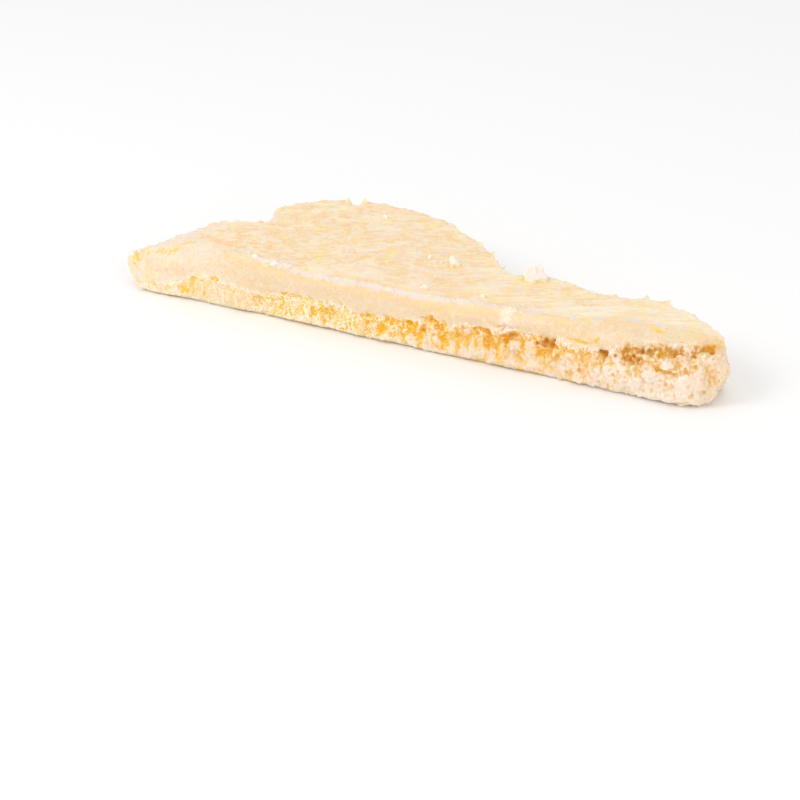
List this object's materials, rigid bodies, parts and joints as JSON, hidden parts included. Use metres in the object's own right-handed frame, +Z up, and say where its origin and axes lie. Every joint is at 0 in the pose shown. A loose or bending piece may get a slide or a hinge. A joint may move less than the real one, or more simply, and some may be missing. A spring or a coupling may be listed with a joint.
{
  "type": "milk skin",
  "caption": "Slab of set milk cream with a wrinkled skin on top, a long straight cut along its front, craggy foam in the lower sides and a rounded lobe at the back, lying flat to be served.",
  "frame": {"origin": "centre of the bounding box, on the flat underside", "axes": "+X along the straight cut, from the tapered tip to the blunt end; +Y from the cut to the rounded lobe; +Z up, out of the skin"},
  "size_m": [0.2096, 0.0632, 0.0207],
  "materials": {
    "cream": "soft matte set cream, slightly moist, with a dry wrinkled skin on top"
  },
  "bodies": {
    "root": {"milk_skin_slab": "cream"}
  },
  "joints": []
}
